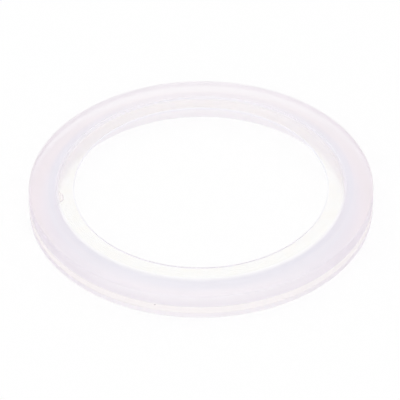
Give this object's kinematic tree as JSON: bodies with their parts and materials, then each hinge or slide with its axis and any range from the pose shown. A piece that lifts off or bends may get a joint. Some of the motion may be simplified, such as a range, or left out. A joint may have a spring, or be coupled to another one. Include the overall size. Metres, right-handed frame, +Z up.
{
  "type": "bowl gasket",
  "caption": "Clear silicone ring gasket with an outward groove between two flanges and a thin inner wiper lip.",
  "frame": {"origin": "centre of the bottom face, on the ring's axis", "axes": "+Z up along the ring's axis, towards the lip side"},
  "size_m": [0.1524, 0.1524, 0.012],
  "materials": {
    "silicone": "translucent, smooth and slightly milky"
  },
  "bodies": {
    "root": {"bowl_gasket": "silicone"}
  },
  "joints": []
}
